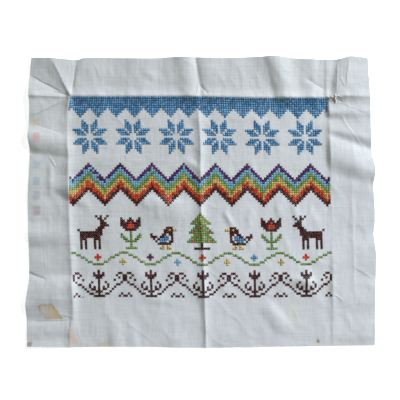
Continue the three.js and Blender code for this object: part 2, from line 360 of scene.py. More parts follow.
def folded(x, y):
    """The height of the pressed creases and the pleated margins."""
    top_y, left_x, right_x = along(TOP_CREASE, x), along(LEFT_CREASE, y), along(RIGHT_CREASE, y)
    out_top = (y - top_y) / (along(TOP_EDGE, x) - top_y)
    out_left = (left_x - x) / (left_x - along(LEFT_EDGE, y))
    out_right = (x - right_x) / (along(RIGHT_EDGE, y) - right_x)
    in_top = (out_top > 0) & (out_top >= out_left)
    in_left = ~in_top & (out_left > 0)
    in_right = ~in_top & ~in_left & (out_right > 0)

    corner_x, corner_y, _ = TOP_CREASE[0]
    past_left, past_top = np.maximum(corner_x - x, 0), np.maximum(y - corner_y, 0)
    in_margin, in_field = [], []
    for crease, pleats, place, away, (margin_reach, field_reach) in (
        (TOP_CREASE, TOP_PLEATS, x, np.hypot(y - top_y, past_left), TOP_REACH),
        (LEFT_CREASE, LEFT_PLEATS, y, np.hypot(x - left_x, past_top), LEFT_REACH),
        (RIGHT_CREASE, RIGHT_PLEATS, y, np.hypot(x - right_x, past_top), RIGHT_REACH),
    ):
        crest = along(crease, place, CREST)
        shoulder = pleated(pleats, place, 0 * x)
        in_margin.append(crest * crest_profile(away, margin_reach))
        in_field.append((crest + shoulder) * crest_profile(away, field_reach))
    margin = np.max(in_margin, axis=0)
    centre = along(CENTRE_CREASE, y, CREST) * crest_profile(x - along(CENTRE_CREASE, y), CENTRE_REACH)
    return np.select(
        [in_top, in_left, in_right],
        [
            margin + pleated(TOP_PLEATS, x, out_top),
            margin + pleated(LEFT_PLEATS, y, out_left),
            margin + pleated(RIGHT_PLEATS, y, out_right, RIGHT_HASTE),
        ],
        np.max(in_field, axis=0) + centre,
    )


GATHER_MIDDLE, GATHER_REACH = 3, 9
GATHER_SPACING, GATHER_LIFT = 9, 0.22
SETTLE = 0.5             # how softly the cloth comes down to the table


def ripples(x, y, spacing, lift, seed, count=28):
    """Gentle unevenness: many small waves of about one spacing, running every way."""
    draw = np.random.default_rng(seed)
    turns, starts = draw.uniform(0, 2 * math.pi, (2, count))
    lengths = spacing * draw.uniform(0.7, 1.6, count)
    total = 0 * x
    for turn, start, length in zip(turns, starts, lengths):
        total += np.sin(2 * math.pi * (x * math.cos(turn) + y * math.sin(turn)) / length + start)
    return lift * total * math.sqrt(2 / count)


def crumples(x, y, spacing, lift, seed):
    """Faint creases where crumpled cloth has been smoothed by hand: a web of low ridges."""
    web = np.clip(1 - np.abs(ripples(x, y, spacing, 1, seed)) / 0.5, 0, 1) ** 2
    patches = 0.5 + 0.5 * np.tanh(ripples(x, y, 3 * spacing, 1, seed + 1))
    return lift * web * patches


def gathers(x, y):
    """Small upright puckers along the top crease, where the first row of crosses pulls."""
    from_crease = y - along(TOP_CREASE, x)
    pull = crest_profile(from_crease - GATHER_MIDDLE, GATHER_REACH)
    return GATHER_LIFT * pull * (ripples(x, 0 * x, GATHER_SPACING, 1, seed=31, count=12) + 0.4)


def cloth_height(x, y):
    """How high the underside lies over the table, which it touches wherever no fold lifts it."""
    lift = (
        folded(x, y)
        + fold_heights(x, y)
        + ripples(x, y, spacing=62, lift=0.42, seed=3)
        + ripples(x, y, spacing=24, lift=0.13, seed=5)
        + ripples(x, y, spacing=9, lift=0.03, seed=7)
        + crumples(x, y, spacing=34, lift=0.35, seed=11)
        + gathers(x, y)
    )
    return 0.5 * (lift + np.hypot(lift, SETTLE))


# ---------------- the cloth

CLOTH_THICKNESS = 0.32
COLUMN_LINES = [-231, -175.5, 0, 173.5, 231]
ROW_LINES = [-193.5, 141, 192]
COLUMN_CELLS, ROW_CELLS = 236, 186
CREASE_CROWDING, CREASE_ZONE = 1.3, 6
SMOOTH_BELOW = 60        # degrees between two faces that are shaded as one


def crowded(ends, creases, cells):
    """Grid lines from one end to the other, closer together beside the creases."""
    places = np.linspace(*ends, 4000)
    nearest = np.min(np.abs(places[:, None] - np.array(creases)), axis=1)
    steps = np.cumsum(1 + CREASE_CROWDING * np.exp(-((nearest / CREASE_ZONE) ** 2)))
    return np.interp(np.linspace(steps[0], steps[-1], cells + 1), steps, places)


def follow(place, stated, moved):
    """Where places stated on one set of lines fall once the lines have moved."""
    i = np.clip(np.searchsorted(stated, place) - 1, 0, len(stated) - 2)
    stated = np.array(stated, float)
    share = (place - stated[i]) / (stated[i + 1] - stated[i])
    moved = np.array(moved)
    low = np.take_along_axis(moved, i[None], axis=0)[0]
    high = np.take_along_axis(moved, i[None] + 1, axis=0)[0]
    return low + (high - low) * share


def in_plan(column, row):
    """The cloth's place in plan for columns and rows."""
    upright = [LEFT_EDGE, LEFT_CREASE, CENTRE_CREASE, RIGHT_CREASE, RIGHT_EDGE]
    x = follow(column, COLUMN_LINES, [along(line, row) for line in upright])
    level = [BOTTOM_EDGE, TOP_CREASE, TOP_EDGE]
    y = follow(row, ROW_LINES, [along(line, x) for line in level])
    return x, y


def softened(height):
    """The heights with each pressed edge eased over the cells beside it."""
    height[1:-1] = (height[:-2] + 2 * height[1:-1] + height[2:]) / 4
    height[:, 1:-1] = (height[:, :-2] + 2 * height[:, 1:-1] + height[:, 2:]) / 4
    return height


COLUMNS = crowded((COLUMN_LINES[0], COLUMN_LINES[-1]), COLUMN_LINES[1:-1], COLUMN_CELLS)
ROWS = crowded((ROW_LINES[0], ROW_LINES[-1]), ROW_LINES[1:-1], ROW_CELLS)


def laid_out():
    """The underside's points, one for each crossing of a row and a column of the grid."""
    column, row = np.meshgrid(COLUMNS, ROWS)
    x, y = in_plan(column, row)
    height = softened(cloth_height(x, y))
    return np.stack([x, y, height - height.min()], axis=-1)


UNDERSIDE = laid_out()


def on_cloth(column, row):
    """Points on the upper face for columns and rows, between the grid's own points."""
    i = np.interp(column, COLUMNS, np.arange(len(COLUMNS)))
    j = np.interp(row, ROWS, np.arange(len(ROWS)))
    i0 = np.minimum(i.astype(int), len(COLUMNS) - 2)
    j0 = np.minimum(j.astype(int), len(ROWS) - 2)
    u, v = (i - i0)[..., None], (j - j0)[..., None]
    low = UNDERSIDE[j0, i0] * (1 - u) + UNDERSIDE[j0, i0 + 1] * u
    high = UNDERSIDE[j0 + 1, i0] * (1 - u) + UNDERSIDE[j0 + 1, i0 + 1] * u
    return low * (1 - v) + high * v + np.array([0, 0, CLOTH_THICKNESS])


def cloth_mesh():
    """Both faces of the sheet and the four narrow walls of its cut edges."""
    up, across = UNDERSIDE.shape[:2]
    under = UNDERSIDE.reshape(-1, 3)
    points = np.concatenate([under, under + [0, 0, CLOTH_THICKNESS]]) * MM
    at = np.arange(up * across).reshape(up, across)
    lower = np.stack([at[:-1, :-1], at[1:, :-1], at[1:, 1:], at[:-1, 1:]], axis=-1).reshape(-1, 4)
    upper = lower[:, ::-1] + len(under)
    rim = np.concatenate([at[0, :-1], at[:-1, -1], at[-1, :0:-1], at[:0:-1, 0]])
    ahead = np.roll(rim, -1)
    walls = np.stack([rim, ahead, ahead + len(under), rim + len(under)], axis=-1)
    mesh = bpy.data.meshes.new("cotton_cloth")
    mesh.from_pydata(points.tolist(), [], np.concatenate([lower, upper, walls]).tolist())
    mesh.polygons.foreach_set("use_smooth", np.ones(len(mesh.polygons), bool))
    mesh.set_sharp_from_angle(angle=math.radians(SMOOTH_BELOW))

    column, row = np.meshgrid(COLUMNS, ROWS)
    places = np.tile(np.stack([column, row], axis=-1).reshape(-1, 2), (2, 1)) * MM
    corners = np.empty(len(mesh.loops), int)
    mesh.loops.foreach_get("vertex_index", corners)
    mesh.uv_layers.new(name="Threads").data.foreach_set("uv", places[corners].ravel())
    return mesh


# ---------------- short ways to add nodes


class Output:
    """What a node gives. Reckoning with it adds one more node at each step."""

    kind = "ShaderNodeMath"

    def __init__(self, socket):
        self.socket = socket

    def reckon(self, operation, *others):
        inputs = dict(enumerate((self, *others)))
        return node(self, self.kind, inputs, gives=type(self), operation=operation)

    def __rsub__(self, whole):
        return node(self, self.kind, {0: whole, 1: self}, operation="SUBTRACT")

    __abs__ = partialmethod(reckon, "ABSOLUTE")
    __add__ = partialmethod(reckon, "ADD")
    __gt__ = partialmethod(reckon, "GREATER_THAN")
    __mod__ = partialmethod(reckon, "MODULO")
    __mul__ = partialmethod(reckon, "MULTIPLY")
    __pow__ = partialmethod(reckon, "POWER")
    __sub__ = partialmethod(reckon, "SUBTRACT")
    __truediv__ = partialmethod(reckon, "DIVIDE")
    minimum = partialmethod(reckon, "MINIMUM")
    maximum = partialmethod(reckon, "MAXIMUM")
    sine = partialmethod(reckon, "SINE")
    times_plus = partialmethod(reckon, "MULTIPLY_ADD")


class Place(Output):
    """The same for a place or a direction."""

    kind = "ShaderNodeVectorMath"

    def dot(self, direction):
        """How far a place is in a direction."""
        return node(self, self.kind, {0: self, 1: direction}, 1, operation="DOT_PRODUCT")

    def length(self):
        return node(self, self.kind, {0: self}, 1, operation="LENGTH")


def node(beside, kind, inputs, output=0, gives=Output, **settings):
    """One output of a new node, in a tree or beside another output.

    Each input is a plain value, or the output that feeds it.
    """
    tree = beside.socket.id_data if isinstance(beside, Output) else beside
    made = tree.nodes.new(kind)
    for name, setting in settings.items():
        setattr(made, name, setting)
    for key, value in inputs.items():
        if isinstance(value, Output):
            tree.links.new(value.socket, made.inputs[key])
        else:
            made.inputs[key].default_value = value
    return gives(made.outputs[output]) if made.outputs else None


def millimetres(place):
    inputs = {0: place, "Scale": 1 / MM}
    return node(place, Place.kind, inputs, gives=Place, operation="SCALE")


def object_place(tree):
    return millimetres(node(tree, "ShaderNodeTexCoord", {}, "Object"))


def x_and_y(place):
    axes = node(place, "ShaderNodeSeparateXYZ", {0: place}).socket.node.outputs
    return Output(axes[0]), Output(axes[1])


def noise(place, size, detail=2, output=0, gives=Output):
    """Soft cloudy unevenness from 0 to 1, with features about `size` across."""
    inputs = {"Vector": place, "Scale": 1 / size, "Detail": detail}
    return node(place, "ShaderNodeTexNoise", inputs, output, gives)


def step(value, start, end, low=0, high=1, curve="SMOOTHSTEP"):
    """From low to high as a value passes from start to end."""
    inputs = dict(enumerate((value, start, end, low, high)))
    return node(value, "ShaderNodeMapRange", inputs, interpolation_type=curve)


def mix(share, under, over):
    return node(share, "ShaderNodeMix", {0: share, 6: under, 7: over}, 2, data_type="RGBA")


def bump(height, depth, **beneath):
    """Relief, on any relief beneath it. The height runs from 0 to 1, and depth is in millimetres."""
    return node(height, "ShaderNodeBump", {"Height": height, "Distance": depth * MM, **beneath})


def new_material(name, values):
    """A material, and its shader's inputs with these values."""
    material = bpy.data.materials.new(name)
    material.use_nodes = True
    surface = material.node_tree.nodes["Principled BSDF"].inputs
    for label, value in values.items():
        surface[label].default_value = value
    return material, surface


def finish(name, look, roughness, sheen=0, specular=0.25):
    """A material with the colour and the relief that its look gives."""
    values = {"Roughness": roughness, "Sheen Weight": sheen, "Specular IOR Level": specular}
    material, surface = new_material(name, values)
    colour, relief = look(material.node_tree)
    material.node_tree.links.new(colour.socket, surface["Base Color"])
    material.node_tree.links.new(relief.socket, surface["Normal"])
    return material


def shade(red, green, blue):
    """A colour given by its three display values from 0 to 255, as the shader wants it."""
    parts = [part / 255 for part in (red, green, blue)]
    return tuple(p / 12.92 if p <= 0.04045 else ((p + 0.055) / 1.055) ** 2.4 for p in parts) + (1,)


# ---------------- the cotton

# The cotton's colour, painted paler and bluer towards the lower right as painted light, and a greyer one
# for both soiling and painted shade towards the upper left.
COTTON = shade(204, 208, 212)
COTTON_SOILED_AND_SHADED = shade(187, 190, 189)
COTTON_THICK = shade(218, 220, 221)
COTTON_THIN = shade(168, 172, 174)
# The colour of the painted shade laid in the gaps between the yarns.
COTTON_GAP_SHADE = shade(140, 140, 136)
YARN_PITCH = 0.46
SLUB_SIZE, SLUB_STRETCH = 1.7, 0.035
RUMPLE_DEPTH, SLUB_DEPTH, WEAVE_DEPTH = 1.3, 0.07, 0.05

# Creases too sharp for the mesh, as relief. Each has its line, its lift (a trough's is negative)
# and how far it reaches to the left and to the right of the way along it.
SHARP_CREASES = [
    # from x, from y, to x, to y, lift, reach left, reach right
    # round the top left corner of the field
    (-198.6, 191.5, -174, 141, 0.6, 5, 5),
    (-230, 169.5, -184, 145, -0.75, 3, 7),
    (-202, 148, -175, 141.5, -0.9, 6, 3),
    (-232, 142.5, -180, 140, 1.15, 9, 8),
    (-230, 113.5, -177, 138.2, 0.85, 7, 4),
    (-165.6, 190, -172.5, 142.5, -0.7, 4, 4),
    (-229, 106, -178, 89, -0.3, 5, 4),
    # the left margin
    (-203.5, 62, -193, 46, 0.55, 3.4, 2),
    (-180, 58, -185, 36, 0.28, 2.5, 5),
    (-248, -88.5, -203, -104.5, -1.15, 4.6, 8),
    (-229, -128.5, -175, -129.5, 0.26, 4, 6),
    (-231, -159, -174, -158.5, -0.45, 2.4, 7),
    # the lower edge
    (-171.5, -154, -158, -192, 0.3, 5, 6),
    (-172, -152, -176.5, -186, 0.5, 2.2, 2.5),
    (-168.5, -160, -163.5, -183, -0.3, 3, 4),
    (-101, -158, -84, -172, 0.28, 7, 5),
    (-88, -169, -60, -189, 0.22, 6, 5),
    (122, -138, 132, -165, 0.18, 6, 4),
    # the top margin
    (-144.5, 190, -132.5, 161, 0.25, 5, 2.4),
    (-2.5, 157.5, 10.5, 141.5, -1, 5.5, 7),
    (-2.5, 158, -6.5, 142, 0.6, 7, 2),
    (0.5, 150, 5, 144, 0.4, 2, 2),
    (36, 170, 48, 151, 0.22, 7, 5),
    (73, 174, 80, 149, 0.3, 7, 5),
    (118, 187, 146, 168, -0.12, 4, 9),
    (136, 167, 168.5, 147.5, -0.85, 9, 7),
    (180, 142, 182.5, 190, 0.5, 5, 2.5),
    (185, 167, 191, 154, 0.5, 4, 2.4),
    (197.6, 193.5, 192.2, 152, 0.5, 8, 2.5),
    # round the top right corner of the field, where an end of thread pulls
    (168, 143, 178, 132, -0.9, 2.5, 2.5),
    (170, 137, 176, 143, 0.6, 2, 2),
    (180.5, 142, 190, 138, 0.7, 2, 2),
    (181, 136, 189, 133, -0.6, 2, 2),
    # the right margin
    (183.5, 131, 225, 115.5, -0.26, 3, 7),
    (184, 121, 204, 87, 0.38, 3, 6),
    (196, 101, 224, 62, 0.22, 3, 4),
    (200.5, 36, 201.5, -24, 0.14, 4, 5),
    (201.5, 10, 204, -74, 0.22, 4, 5),
    (203, -60, 206, -140, 0.26, 4.5, 4),
    (200.5, -83, 232, -103.5, 0.4, 6, 3.5),
    (176, -122, 190, -131.5, 0.42, 3, 3),
    # down the middle
    (-4, 138, -0.9, 70, 0.25, 8, 9),
    (-0.9, 95, 1.5, -35, 0.45, 5, 6),
    (0.3, 0, 4.2, -118, 0.45, 5, 6),
    (3.2, -80, 7.3, -215, 0.45, 5, 6),
]
# Old marks, and patches of painted shade laid in the same way. A mark is an ellipse on the cloth, with its
# half width and half height.
MARKS_AND_SHADES = [
    # x, y, half width, half height, strength, colour
    (-128, -189.5, 10, 4.5, 0.5, shade(180, 172, 134)),
    (125, -146, 8, 20, 0.3, shade(206, 207, 176)),
    (172, -121.5, 1.5, 1.7, 0.8, shade(108, 100, 80)),
    (171.5, -117, 1.3, 1.3, 0.5, shade(120, 112, 92)),
    # painted shade along the field's side of the right crease
    (171, -114, 6, 14, 0.35, shade(176, 172, 150)),
    (156.4, -184.5, 4.5, 4.5, 0.4, shade(188, 176, 138)),
    (156, -185.5, 1.7, 2.2, 0.8, shade(112, 92, 62)),
    (-157.5, -126.8, 1.7, 0.8, 0.85, shade(98, 90, 92)),
    (-228.5, -189.5, 4.2, 4, 0.7, shade(132, 118, 100)),
    # partly grime and partly painted shade, round the puckers by the loose end of thread
    (174, 138, 6, 6.5, 0.45, shade(156, 150, 136)),
    # partly grime and partly painted shade, where the top and left creases meet
    (-175, 141, 7, 4, 0.45, shade(130, 124, 104)),
]
# Where something damp lay on the cloth: each patch's corners, anticlockwise.
DAMP_PATCH = [(-217, -137.5), (-216.5, -143), (-206, -156.5), (-184.5, -155.5), (-199, -134.5)]
DAMP_CORNER = [(-170.2, -164), (-175.5, -189), (-163.5, -189)]

# The maker's printed colour tabs down the left margin: centre, half height and colour.
TABS_X, TAB_HALF_WIDTH = -219, 4.8
TABS = [
    (106, 5.5, shade(206, 172, 122)),
    (86, 6.5, shade(208, 116, 122)),
    (68, 4.5, shade(160, 186, 150)),
    (50, 5.2, shade(132, 168, 184)),
    (28, 6, shade(112, 142, 180)),
    (9, 5.8, shade(150, 132, 172)),
    (-11.5, 6.5, shade(134, 86, 104)),
]
TAB_STRENGTH = 0.5
TAB_HATCH = 2.6


def inside(place, corners):
    """How far a place lies inside a patch with straight sides."""
    nearest = None
    for start, end in zip(corners, corners[1:] + corners[:1]):
        length = math.dist(start, end)
        inwards = ((start[1] - end[1]) / length, (end[0] - start[0]) / length, 0)
        depth = place.dot(inwards) - (inwards[0] * start[0] + inwards[1] * start[1])
        nearest = depth if nearest is None else nearest.minimum(depth)
    return nearest


def strayed(place, size, reach):
    """Places moved a little to and fro, so that what is drawn with them has no straight side."""
    cloud = noise(place, size, output=1, gives=Place)
    return place + (cloud - (0.5, 0.5, 0.5)) * (reach, reach, 0)


def marked_and_shaded(place, colour):
    """The cloth's colour with its old marks and its patches of painted shade."""
    place = strayed(place, 4.5, 5)
    for x, y, half_width, half_height, strength, tone in MARKS_AND_SHADES:
        away = ((place - (x, y, 0)) / (half_width, half_height, 1)).length()
        colour = mix(step(away, 0.4, 1.3, strength, 0), colour, tone)

    depth = inside(place, DAMP_PATCH)
    # It dried deeper in colour at its right, and darkest at its rim.
    rightwards = step(place.dot((1, 0.35, 0)), -266, -238)
    tan = mix(rightwards, shade(206, 186, 160), shade(196, 168, 104))
    soaked = step(depth, -1.2, 1.6) * step(rightwards, 0, 1, 0.4, 0.75)
    colour = mix(soaked, colour, tan)
    rim = step(depth, -0.9, 0.4) * step(depth, 0.6, 3, 0.5, 0)
    rim = rim * step(noise(place, 9), 0.35, 0.6)
    colour = mix(rim, colour, shade(160, 128, 86))

    soaked = step(inside(place, DAMP_CORNER), -1.5, 2.5, 0, 0.65)
    return mix(soaked, colour, shade(206, 180, 148))


def printed(place, colour):
    """The faint printed tabs, hatched as such prints are."""
    place = strayed(place, 3, 1.2)
    x, y = x_and_y(place)
    in_strip = step(abs(x - TABS_X), TAB_HALF_WIDTH - 1.6, TAB_HALF_WIDTH + 1, 1, 0)
    hatch_x, hatch_y = ((axis * (2 * math.pi / TAB_HATCH)).sine() for axis in (x, y))
    hatch = step(hatch_x.maximum(hatch_y), 0.2, 0.9, 0.65, 1)
    faded = step(noise(place, 6), 0.3, 0.65, 0.6, 1)
    ink = in_strip * hatch * faded
    for centre, half_height, tone in TABS:
        here = step(abs(y - centre), half_height - 1.6, half_height + 1.2, TAB_STRENGTH, 0)
        colour = mix(here * ink, colour, tone)
    return colour


def sharply_creased(place):
    """The height in millimetres of every sharp crease."""
    place = strayed(place, 14, 3)
    total = 0.0
    for from_x, from_y, to_x, to_y, lift, reach_left, reach_right in SHARP_CREASES:
        length = math.dist((from_x, from_y), (to_x, to_y))
        dx, dy = (to_x - from_x) / length, (to_y - from_y) / length
        middle = ((from_x + to_x) * dx + (from_y + to_y) * dy) / 2
        from_middle = abs(place.dot((dx, dy, 0)) - middle)
        leftwards = place.dot((-dy, dx, 0)) + (from_x * dy - from_y * dx)
        left = leftwards.times_plus(-1 / reach_left, 1)
        right = leftwards.times_plus(1 / reach_right, 1)
        crest = left.minimum(right).maximum(0)
        kept = step(from_middle, 0.25 * length, 0.5 * length, lift, 0)
        total = (crest * crest).times_plus(kept, total)
    return total


def crumpled(place):
    """Slight rumples all over, from 0 to 1: a web of soft creases and smaller dents between."""
    web = step(abs(noise(place, 55, 1) - 0.5), 0, 0.07, 1, 0, "LINEAR")
    dents = noise(place * (1, 0.55, 1), 16)
    return web.times_plus(0.2, dents * 0.8)


def cotton(tree):
    """Plain woven cotton: yarns over and under, thick and thin places in them, old marks, and painted
    light and shade.
    """
    threads = millimetres(node(tree, "ShaderNodeUVMap", {}, uv_map="Threads"))
    place = object_place(tree) * (1, 1, 0)

    sine_x, sine_y = ((axis * (math.pi / YARN_PITCH)).sine() for axis in x_and_y(threads))
    over = (sine_x * sine_y).times_plus(0.5, 0.5)
    under = 1.0 - over
    warp = sine_x * sine_x * over
    weft = sine_y * sine_y * under
    weave = warp.maximum(weft)

    warp_slubs = noise(threads * (1, SLUB_STRETCH, 1), SLUB_SIZE)
    weft_slubs = noise(threads * (SLUB_STRETCH, 1, 1), SLUB_SIZE)
    slubs = warp_slubs + weft_slubs

    # Painted light and shade: the upper left is painted greyer and the lower right paler and bluer, as the
    # lamp's light falls off across the cloth, with cloudy soiling over it.
    cleaner_and_lit = step(place.dot((0.62, -0.78, 0)), -190, 190, 0, 0.7)
    cleaner_and_lit = noise(place, 46, 3).times_plus(0.5, cleaner_and_lit)
    colour = mix(cleaner_and_lit, COTTON_SOILED_AND_SHADED, COTTON)
    colour = mix(step(slubs, 0.7, 1.3, 0, 0.34), colour, COTTON_THICK)
    colour = mix(step(slubs, 0.7, 1.05, 0.14, 0), colour, COTTON_THIN)
    # Painted shade in the gaps between the yarns.
    colour = mix(step(weave, 0, 0.35, 0.26, 0), colour, COTTON_GAP_SHADE)
    colour = marked_and_shaded(place, printed(place, colour))

    relief = bump(sharply_creased(place), 1)
    relief = bump(crumpled(place), RUMPLE_DEPTH, Normal=relief)
    relief = bump(slubs, SLUB_DEPTH, Normal=relief)
    return colour, bump(weave, WEAVE_DEPTH, Normal=relief)


# ---------------- the floss

# The paler and the deeper shade of each floss. Crosses vary between them by dye, and the deeper one is
# also used as painted shade at the arms' ends and along the lower arm.
FLOSS = {
    "blue": (shade(156, 218, 252), shade(50, 105, 151)),
    "aqua": (shade(166, 220, 240), shade(100, 164, 198)),
    "maroon": (shade(116, 18, 12), shade(46, 5, 4)),
    "red": (shade(250, 96, 36), shade(186, 38, 12)),
    "gold": (shade(250, 228, 146), shade(186, 155, 72)),
    "green": (shade(180, 206, 116), shade(90, 124, 56)),
    "purple": (shade(128, 50, 132), shade(56, 10, 70)),
}


def floss_finish(name, pale, deep):
    """Cotton floss with a soft lustre. Each cross took the dye a little differently. Painted shade darkens
    each arm towards its ends and the lower arm all along, and lies between the hairs.
    """
    # painted shade between the floss's hairs
    shade_between_hairs = tuple(part * 0.55 for part in deep[:3]) + (1,)

    def look(tree):
        place = object_place(tree)
        dye, sunk_shade = (
            node(tree, "ShaderNodeAttribute", {}, "Fac", attribute_name=label) for label in ("dye", "sunk_shade")
        )
        tone = step(dye + noise(place, 30), 0.4, 1.6, 0.18, 1)
        # painted shade, deeper towards each arm's ends and all along the lower arm
        tone = tone * step(sunk_shade, 0, 0.85, 1, 0)
        hairs = noise(place, 0.16, 3)
        colour = mix(tone, deep, pale)
        colour = mix(step(hairs, 0.35, 0.7, 0.25, 0), colour, shade_between_hairs)
        return colour, bump(hairs, 0.06)

    return finish("floss " + name, look, roughness=0.6, specular=0.06)


# ---------------- the crosses

FIELD_LEFT, FIELD_RIGHT, FIELD_TOP = -174.6, 172.6, 139.6
STITCH_COLUMNS, STITCH_ROWS = 115, 91
STITCH_ACROSS = (FIELD_RIGHT - FIELD_LEFT) / STITCH_COLUMNS
STITCH_DOWN = 3.03

FLOSS_WIDTH = 1.45
FLOSS_THICKNESS = 0.68
FLOSS_STRANDS = 2
GROOVE = 0.45            # the height between two strands, as a share of the thickness
FLOSS_SINK = 0.26        # how far an arm's ends go down into their holes
LINE_POINTS = 5          # points along an arm of floss or a fibre
ARM_LOFT = 0.8           # how far the upper arm is lifted, as a share of the thickness
ARM_GATHER = 0.42        # how much narrower an arm is at its ends
UNDER_ARM = 0.58         # how deep in shade the lower arm lies, from 0 to 1


def new_tree(name, **inputs):
    """A tree for a modifier, and the outputs that give its named inputs."""
    tree = bpy.data.node_groups.new(name, "GeometryNodeTree")
    for label, kind in {"Geometry": "Geometry", **inputs}.items():
        tree.interface.new_socket(name=label, in_out="INPUT", socket_type="NodeSocket" + kind)
    tree.interface.new_socket(name="Geometry", in_out="OUTPUT", socket_type="NodeSocketGeometry")
    given = tree.nodes.new("NodeGroupInput").outputs
    return tree, {socket.name: Output(socket) for socket in given}


def vector(*parts):
    beside = next(part for part in parts if isinstance(part, Output))
    return node(beside, "ShaderNodeCombineXYZ", dict(enumerate(parts)))


def store(geometry, name, value, domain="POINT"):
    inputs = {"Geometry": geometry, "Name": name, "Value": value}
    return node(geometry, "GeometryNodeStoreNamedAttribute", inputs, data_type="FLOAT", domain=domain)


def direction(tree, name):
    """The direction that each point carries under a name."""
    inputs = {"Name": name}
    return node(tree, "GeometryNodeInputNamedAttribute", inputs, gives=Place, data_type="FLOAT_VECTOR")


def at_random(seed, low, high):
    """A vector or a number for each point, drawn between two limits."""
    kind = "FunctionNodeRandomValue"
    if isinstance(low, tuple):
        return node(seed, kind, {0: low, 1: high, "Seed": seed}, data_type="FLOAT_VECTOR")
    return node(seed, kind, {2: low, 3: high, "Seed": seed}, 1, data_type="FLOAT")


def faced(first, first_axis, second, second_axis, astray):
    """Which way each copy faces, by two directions of its own, turned a little astray."""
    axes = {"primary_axis": first_axis, "secondary_axis": second_axis}
    facing = node(first, "FunctionNodeAxesToRotation", {0: first, 1: second}, **axes)
    return node(facing, "FunctionNodeRotateRotation", {0: facing, 1: astray}, rotation_space="LOCAL")


def even_line(tree, start, end):
    """A straight line of evenly spaced points, and each one's share of the way along it."""
    line = node(tree, "GeometryNodeCurvePrimitiveLine", {"Start": start, "End": end})
    line = node(tree, "GeometryNodeResampleCurve", {"Curve": line, "Count": LINE_POINTS})
    return line, node(tree, "GeometryNodeSplineParameter", {}, "Factor")


def moved(geometry, offset):
    return node(geometry, "GeometryNodeSetPosition", {"Geometry": geometry, "Offset": offset})


def solid(curve, section, **more):
    """A closed solid with one section all along a curve."""
    inputs = {"Curve": curve, "Profile Curve": section, "Fill Caps": True, **more}
    return node(curve, "GeometryNodeCurveToMesh", inputs)


def put_out(tree, given, shape, material, stored=None, **placing):
    """The tree's end: smooth copies of a shape on its points, made real, in one material."""
    smooth = node(tree, "GeometryNodeSetShadeSmooth", {0: shape})
    inputs = {"Points": given["Geometry"], "Instance": smooth, **placing}
    copies = node(tree, "GeometryNodeInstanceOnPoints", inputs)
    if stored:
        copies = store(copies, *stored, "INSTANCE")
    real = node(tree, "GeometryNodeRealizeInstances", {0: copies})
    done = node(tree, "GeometryNodeSetMaterial", {0: real, "Material": given[material]})
    node(tree, "NodeGroupOutput", {0: done})


def floss_section(tree, given):
    """The floss's cross-section: its strands side by side on a flat base."""
    index = node(tree, "GeometryNodeInputIndex", {})
    last = given["Strands"] * 2
    share = index / last - 0.5
    from_rim = index.minimum(last - index)
    level = (index % 2).maximum((from_rim > 0.5) * GROOVE) * given["Thickness"]
    # A curve's section is laid with its own Y downwards.
    inputs = {"Count": last + 1, "Position": vector(share * given["Width"], level * -1)}
    points = node(tree, "GeometryNodePoints", inputs)
    curve = node(tree, "GeometryNodePointsToCurves", {0: points})
    return node(tree, "GeometryNodeSetSplineCyclic", {0: curve, "Cyclic": True})


def floss_arm(tree, given, section, lean, loft):
    """One arm of a cross. It rises from one hole, lies over the cloth and dips into the next."""
    across, down = given["Across"] * (0.5 * lean), given["Down"] * 0.5
    line, share = even_line(tree, vector(across * -1, down * -1), vector(across, down))
    from_middle = abs(share.times_plus(2, -1))
    rise = (1 - from_middle**2) ** 2
    level = rise * loft - from_middle**4 * given["Sink"]
    lifted = moved(line, vector(0, 0, level))
    upright = node(tree, "GeometryNodeSetCurveNormal", {0: lifted}, mode="Z_UP")
    # How much painted shade the floss gets: more towards the ends, and more all along the lower arm.
    sunk_shade = store(upright, "sunk_shade", from_middle.maximum(UNDER_ARM if lean < 0 else 0))
    return solid(sunk_shade, section, Scale=(from_middle**3).times_plus(-ARM_GATHER, 1))


def cross_stitch_tree():
    """A cross of floss on each point, turned by the point's own `along` and `up`."""
    sizes = dict.fromkeys(("Across", "Down", "Width", "Thickness", "Sink"), "Float")
    tree, given = new_tree("cross stitch", **sizes, Strands="Int", Seed="Int", Floss="Material")
    section = floss_section(tree, given)
    arms = tree.nodes.new("GeometryNodeJoinGeometry")
    for lean, loft in ((-1, 0), (1, given["Thickness"] * ARM_LOFT)):
        tree.links.new(floss_arm(tree, given, section, lean, loft).socket, arms.inputs[0])

    seed = given["Seed"]
    askew = at_random(seed, (-0.05, -0.05, -0.09), (0.05, 0.05, 0.09))
    tension = at_random(seed + 1, (0.97, 0.97, 0.8), (1.05, 1.05, 1.25))
    facing = faced(direction(tree, "up"), "Z", direction(tree, "along"), "X", askew)
    dye = ("dye", at_random(seed + 2, 0, 1))
    put_out(tree, given, Output(arms.outputs[0]), "Floss", dye, Rotation=facing, Scale=tension)
    return tree


def points_mesh(name, points, **directions):
    """Loose points, in metres, each with its named directions."""
    mesh = bpy.data.meshes.new(name)
    mesh.from_pydata((points * MM).tolist(), [], [])
    for label, values in directions.items():
        stored = mesh.attributes.new(label, "FLOAT_VECTOR", "POINT")
        stored.data.foreach_set("vector", values.ravel())
    return mesh


